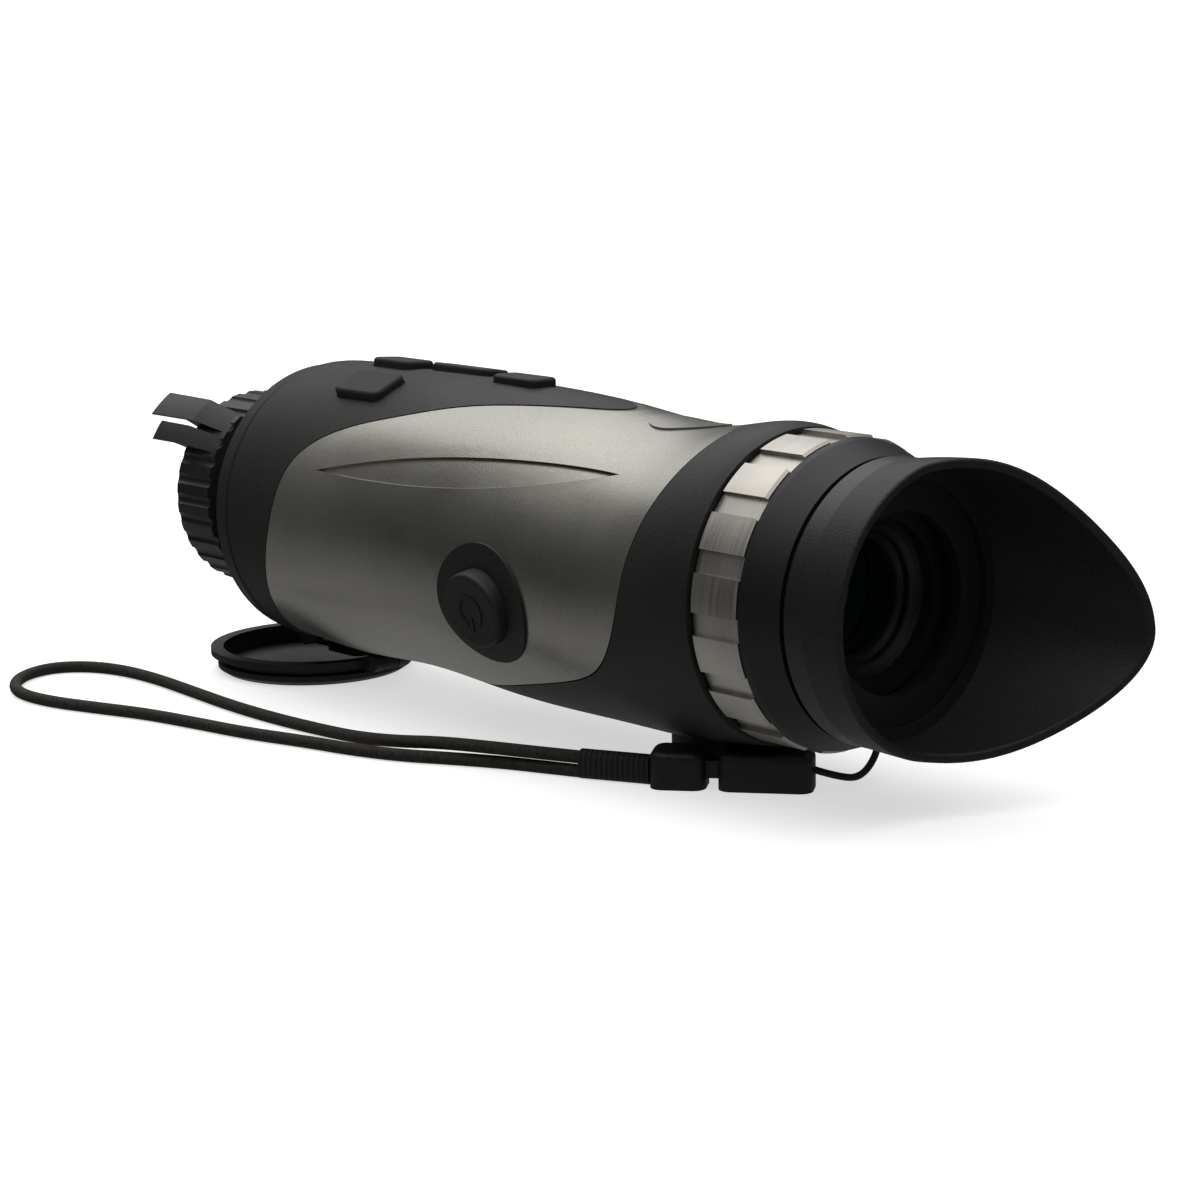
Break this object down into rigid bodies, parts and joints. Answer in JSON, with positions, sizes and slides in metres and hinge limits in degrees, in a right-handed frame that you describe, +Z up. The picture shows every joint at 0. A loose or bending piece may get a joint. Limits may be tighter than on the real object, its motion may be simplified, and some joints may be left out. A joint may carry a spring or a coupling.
{
  "type": "laser rangefinder",
  "caption": "Handheld viewing monocular with winged eyecup, silver dioptre ring, key pad, focus ring, lens cap folded under the nose and a wrist strap on a clip.",
  "frame": {"origin": "mouth of the tripod socket, in the middle of the foot's bottom face", "axes": "+Y forward along the optical axis to the objective, +X to the user's right, +Z up"},
  "size_m": [0.1047, 0.2441, 0.0723],
  "materials": {
    "shell_grey": "satin",
    "rubber_black": "matte",
    "plastic_black": "matte",
    "ring_silver": "brushed",
    "anodised_black": "anodised",
    "chassis_grey": "matte",
    "steel": "plain",
    "brass": "plain",
    "coated_glass": "coated",
    "germanium": "polished",
    "window_glass": "dark",
    "board_green": "solder mask",
    "sensor_gold": "plain",
    "battery_wrap": "gloss",
    "seal_rubber": "matte",
    "cord_fabric": "braided",
    "buckle_plastic": "satin"
  },
  "bodies": {
    "housing": {"main_shell": "shell_grey", "top_panel": "rubber_black", "rear_collar": "rubber_black", "chassis": "chassis_grey", "front_bezel": "rubber_black", "laser_windows": "window_glass", "laser_module": "anodised_black", "badge": "plastic_black", "power_bezel": "rubber_black", "key_switches": "steel", "eyepiece_barrel": "anodised_black", "objective_tube": "anodised_black", "bezel_screws": "steel", "sensor_bracket": "anodised_black", "sensor_core": "sensor_gold", "main_board": "board_green", "battery": "battery_wrap", "battery_tray": "chassis_grey", "display_bracket": "chassis_grey", "display_module": "anodised_black", "usb_socket": "steel", "foot": "rubber_black", "tripod_insert": "brass", "strap_lug": "plastic_black", "lug_pin": "steel", "buckle_socket": "buckle_plastic", "buckle_plug": "buckle_plastic", "strap_whipping": "seal_rubber", "strap_cord": "cord_fabric", "strap_lead": "cord_fabric", "lead_knot": "cord_fabric"},
    "focus_ring": {"focus_ring": "plastic_black"},
    "objective_cell": {"objective_cell": "anodised_black", "objective_lens": "germanium", "objective_retainer": "anodised_black", "relay_lens": "germanium", "cell_spacer": "anodised_black"},
    "dioptre_ring": {"dioptre_ring": "ring_silver"},
    "eyepiece_cell": {"eyepiece_cell": "anodised_black", "eyepiece_seal": "seal_rubber", "eye_retainer": "anodised_black", "eye_lens": "coated_glass", "lens_spacer": "anodised_black", "field_lens": "coated_glass", "lens_retainer": "anodised_black"},
    "eyecup": {"eyecup": "rubber_black", "cup_ring": "plastic_black"},
    "power_button": {"power_button": "rubber_black"},
    "key_left": {"key_left": "rubber_black"},
    "key_front": {"key_front": "rubber_black"},
    "key_right": {"key_right": "rubber_black"},
    "key_rear": {"key_rear": "rubber_black"},
    "cap_tether": {"cap_tether": "rubber_black"},
    "lens_cap": {"lens_cap": "plastic_black", "cap_pin": "steel"},
    "port_cover": {"port_cover": "rubber_black"}
  },
  "joints": [
    {"name": "focus_turn", "type": "hinge", "parent": "housing", "child": "focus_ring", "pos_m": [0, 0.137, 0.039], "axis": [0, 1, 0], "range_deg": [-60, 60]},
    {"name": "focus_travel", "type": "slide", "parent": "housing", "child": "objective_cell", "axis": [0, 1, 0], "range_m": [-0.0015, 0.0015]},
    {"name": "dioptre_turn", "type": "hinge", "parent": "housing", "child": "dioptre_ring", "pos_m": [0, -0.029, 0.039], "axis": [0, 1, 0], "range_deg": [-120, 120]},
    {"name": "dioptre_travel", "type": "slide", "parent": "housing", "child": "eyepiece_cell", "axis": [0, 1, 0], "range_m": [-0.002, 0.002]},
    {"name": "eyecup_swivel", "type": "hinge", "parent": "housing", "child": "eyecup", "pos_m": [0, -0.045, 0.039], "axis": [0, 1, 0], "range_deg": [-180, 180]},
    {"name": "power_press", "type": "slide", "parent": "housing", "child": "power_button", "axis": [0.9744, 0, 0.225], "range_m": [0, 0.0008], "stiffness_N_per_m": 1500, "springref_m": -0.001},
    {"name": "key_left_press", "type": "slide", "parent": "housing", "child": "key_left", "axis": [0.3907, 0, -0.9205], "range_m": [0, 0.0006], "stiffness_N_per_m": 1500, "springref_m": -0.001},
    {"name": "key_front_press", "type": "slide", "parent": "housing", "child": "key_front", "axis": [-0.0872, 0, -0.9962], "range_m": [0, 0.0006], "stiffness_N_per_m": 1500, "springref_m": -0.001},
    {"name": "key_right_press", "type": "slide", "parent": "housing", "child": "key_right", "axis": [-0.1736, 0, -0.9848], "range_m": [0, 0.0006], "stiffness_N_per_m": 1500, "springref_m": -0.001},
    {"name": "key_rear_press", "type": "slide", "parent": "housing", "child": "key_rear", "axis": [-0.0349, 0, -0.9994], "range_m": [0, 0.0006], "stiffness_N_per_m": 1500, "springref_m": -0.001},
    {"name": "tether_hinge", "type": "hinge", "parent": "housing", "child": "cap_tether", "pos_m": [0, 0.1275, 0.0074], "axis": [1, 0, 0], "range_deg": [0, 186.93]},
    {"name": "cap_hinge", "type": "hinge", "parent": "cap_tether", "child": "lens_cap", "pos_m": [0, 0.10332, 0.0049], "axis": [1, 0, 0], "range_deg": [-97.03, 0.1]},
    {"name": "port_cover_hinge", "type": "hinge", "parent": "housing", "child": "port_cover", "pos_m": [0.03008, 0.027, 0.02573], "axis": [0, 1, 0], "range_deg": [0, 110]}
  ],
  "couplings": [
    {"joint": "focus_travel", "follows": "focus_turn", "m_per_rad": 0.0013846},
    {"joint": "dioptre_travel", "follows": "dioptre_turn", "m_per_rad": 0.0009311},
    {"joint": "cap_hinge", "follows": "tether_hinge", "ratio": -0.51854}
  ]
}
